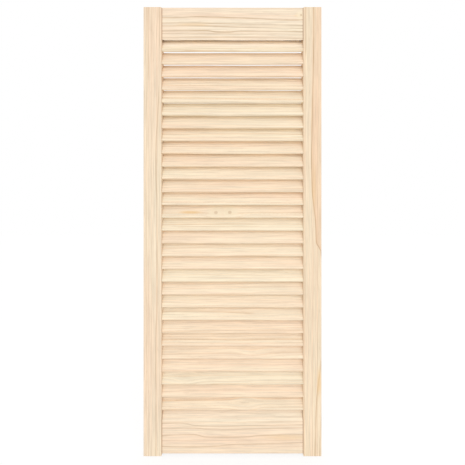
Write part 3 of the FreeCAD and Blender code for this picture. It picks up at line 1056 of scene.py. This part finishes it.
def slat_row(wire, given, slat):
    """The slats in a leaning row, each with a number and a cut of its own."""
    row = wire.add(
        "GeometryNodeMeshLine",
        {
            "Count": given["Count"],
            "Start Location": given["First Middle"],
            "Offset": wire.join(0.0, 0.0, wire.math("MULTIPLY", given["Pitch"], -1.0)),
        },
    )
    lean = wire.join(wire.math("MULTIPLY", given["Tilt"], -1.0), 0.0, 0.0)
    copies = wire.add(
        "GeometryNodeInstanceOnPoints",
        {"Points": row.outputs[0], "Instance": slat, "Rotation": lean},
    )
    cut = wire.add("FunctionNodeRandomValue", {"Seed": given["Seed"]}, data_type="FLOAT").outputs[1]
    number = wire.add("GeometryNodeInputIndex").outputs[0]
    shape = keep_value(wire, copies.outputs[0], "slat_cut", cut, "FLOAT", "INSTANCE")
    shape = keep_value(wire, shape, "slat_number", number, "FLOAT", "INSTANCE")
    return wire.add("GeometryNodeRealizeInstances", {"Geometry": shape}).outputs[0]


def bowed_row(wire, given, row, half_length):
    """The row with each slat bowed a little between its ends, which stay in their housings."""
    place = wire.add("GeometryNodeInputNamedAttribute", {"Name": "slat_place"}, data_type="FLOAT_VECTOR")
    cut = wire.add("GeometryNodeInputNamedAttribute", {"Name": "slat_cut"}, data_type="FLOAT")
    along, _, _ = wire.split(place.outputs[0])
    bend_place = wire.join(wire.math("MULTIPLY", along, BENDS_PER_METRE), 0.0, 0.0)
    bend = wire.sway(bend_place, wire.math("MULTIPLY", cut.outputs[0], BEND_SPREAD))
    held = wire.math("DIVIDE", along, half_length)
    free = wire.math("SUBTRACT", 1.0, wire.math("MULTIPLY", held, held))
    bow = wire.scaled(bend, wire.math("MULTIPLY", free, given["Bow"]))
    offset = wire.vector("MULTIPLY", bow, BOW_SHARES)
    return wire.add("GeometryNodeSetPosition", {"Geometry": row, "Offset": offset}).outputs[0]


def make_slat_tree():
    """All the slats from their sizes, smooth and with their finish."""
    tree = bpy.data.node_groups.new("louvre_slats", "GeometryNodeTree")
    kinds = {
        "Count": "Int",
        "Pitch": "Float",
        "Width": "Float",
        "Thickness": "Float",
        "Length": "Float",
        "Tilt": "Float",
        "First Middle": "Vector",
        "Bow": "Float",
        "Seed": "Int",
        "Finish": "Material",
    }
    for label, kind in kinds.items():
        tree.interface.new_socket(label, in_out="INPUT", socket_type="NodeSocket" + kind)
    tree.interface.new_socket("Slats", in_out="OUTPUT", socket_type="NodeSocketGeometry")
    wire = Wiring(tree)
    given = wire.add("NodeGroupInput").outputs
    result = wire.add("NodeGroupOutput").inputs
    half_length = wire.math("MULTIPLY", given["Length"], 0.5)
    row = slat_row(wire, given, whole_slat(wire, given, half_length))
    bowed = bowed_row(wire, given, row, half_length)
    smooth = wire.add("GeometryNodeSetShadeSmooth", {"Geometry": bowed, "Shade Smooth": True})
    finished = wire.add(
        "GeometryNodeSetMaterial",
        {"Geometry": smooth.outputs[0], "Material": given["Finish"]},
    )
    wire.feed(result["Slats"], finished.outputs[0])
    return tree


def make_slats(finish):
    """All the slats as one plain mesh, in place of the frame's plain slats."""
    tree = make_slat_tree()
    carrier = place_object("slat_carrier", bpy.data.meshes.new("slat_carrier"))
    modifier = carrier.modifiers.new("louvre_slats", "NODES")
    modifier.node_group = tree
    values = {
        "Count": len(slat_nodes),
        "Pitch": slat_pitch,
        "Width": slat_width,
        "Thickness": slat_thickness,
        "Length": slat_length,
        "Tilt": slat_tilt,
        "First Middle": (first_low + first_high) / 2,
        "Bow": SLAT_BOW,
        "Seed": SLAT_SEED,
        "Finish": finish,
    }
    for socket in tree.interface.items_tree:
        if socket.in_out == "INPUT":
            modifier[socket.identifier] = values[socket.name]
    bpy.context.view_layer.update()
    evaluated = carrier.evaluated_get(bpy.context.evaluated_depsgraph_get())
    mesh = bpy.data.meshes.new_from_object(evaluated)
    mesh.name = "slats"
    carrier.modifiers.remove(modifier)
    bpy.data.objects.remove(carrier)
    slats = place_object("slats", mesh)
    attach(slats, "root")
    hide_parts(*slat_nodes)


def seen_directly(wire):
    """One where the camera looks, also by way of metal or glass, and nothing for other light."""
    rays = wire.add("ShaderNodeLightPath").outputs
    seen = wire.math("MAXIMUM", rays["Is Camera Ray"], rays["Is Glossy Ray"])
    return wire.math("MAXIMUM", seen, rays["Is Transmission Ray"])


def make_floor():
    """A white floor that the camera sees as white paper, with the door's soft shadow on it."""
    mesh = bpy.data.meshes.new("floor")
    level = floor_level - FLOOR_DROP
    corners = [(-1, -1), (1, -1), (1, 1), (-1, 1)]
    mesh.from_pydata([(x * FLOOR_HALF, y * FLOOR_HALF, level) for x, y in corners], [], [(0, 1, 2, 3)])
    floor = place_object("floor", mesh)
    material = bpy.data.materials.new("white_paper")
    wire = start_tree(material)
    seen = seen_directly(wire)
    grey = wire.fit(seen, 0.0, 1.0, FLOOR_WHITE, FLOOR_SEEN)
    paper = wire.add("ShaderNodeBsdfDiffuse", {"Color": wire.join(grey, grey, grey)})
    glow = wire.add("ShaderNodeEmission", {"Strength": wire.math("MULTIPLY", seen, FLOOR_GLOW)})
    both = wire.add("ShaderNodeAddShader", {0: paper.outputs[0], 1: glow.outputs[0]})
    wire.add("ShaderNodeOutputMaterial", {"Surface": both.outputs[0]})
    mesh.materials.append(material)


def make_light():
    """A plain white room, and one wide soft light in front, a little to the right and above."""
    world = bpy.data.worlds.new("white_room")
    bpy.context.scene.world = world
    wire = start_tree(world)
    strength = wire.fit(seen_directly(wire), 0.0, 1.0, ROOM_LIGHT, ROOM_SEEN)
    room = wire.add("ShaderNodeBackground", {"Color": WHITE, "Strength": strength})
    wire.add("ShaderNodeOutputWorld", {"Surface": room.outputs[0]})
    lamp = bpy.data.lights.new("soft_front_light", "AREA")
    lamp.shape = "RECTANGLE"
    lamp.size, lamp.size_y = LAMP_SIZE
    lamp.energy = LAMP_POWER
    holder = place_object("soft_front_light", lamp)
    holder.location = LAMP_PLACE
    holder.rotation_euler = (door_middle - Vector(LAMP_PLACE)).to_track_quat("-Z", "Y").to_euler()


def make_camera():
    """A camera square to the door, close to the height of its middle."""
    camera = bpy.data.cameras.new("camera")
    camera.sensor_width = SENSOR_WIDTH
    camera.lens = SENSOR_WIDTH * CAMERA_DISTANCE / FRAME_WIDTH
    holder = place_object("camera", camera)
    holder.location = (door_middle.x, front_face - CAMERA_DISTANCE, CAMERA_HEIGHT)
    holder.rotation_euler = (math.pi / 2, 0.0, 0.0)
    bpy.context.scene.camera = holder


finishes = make_pine_finishes()
for node in (*STILES, *RAILS):
    for material_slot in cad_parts[node].material_slots:
        material_slot.material = finishes[node]
make_slats(finishes["slats"])
make_floor()
make_light()
make_camera()
bpy.context.scene.view_settings.view_transform = "Standard"
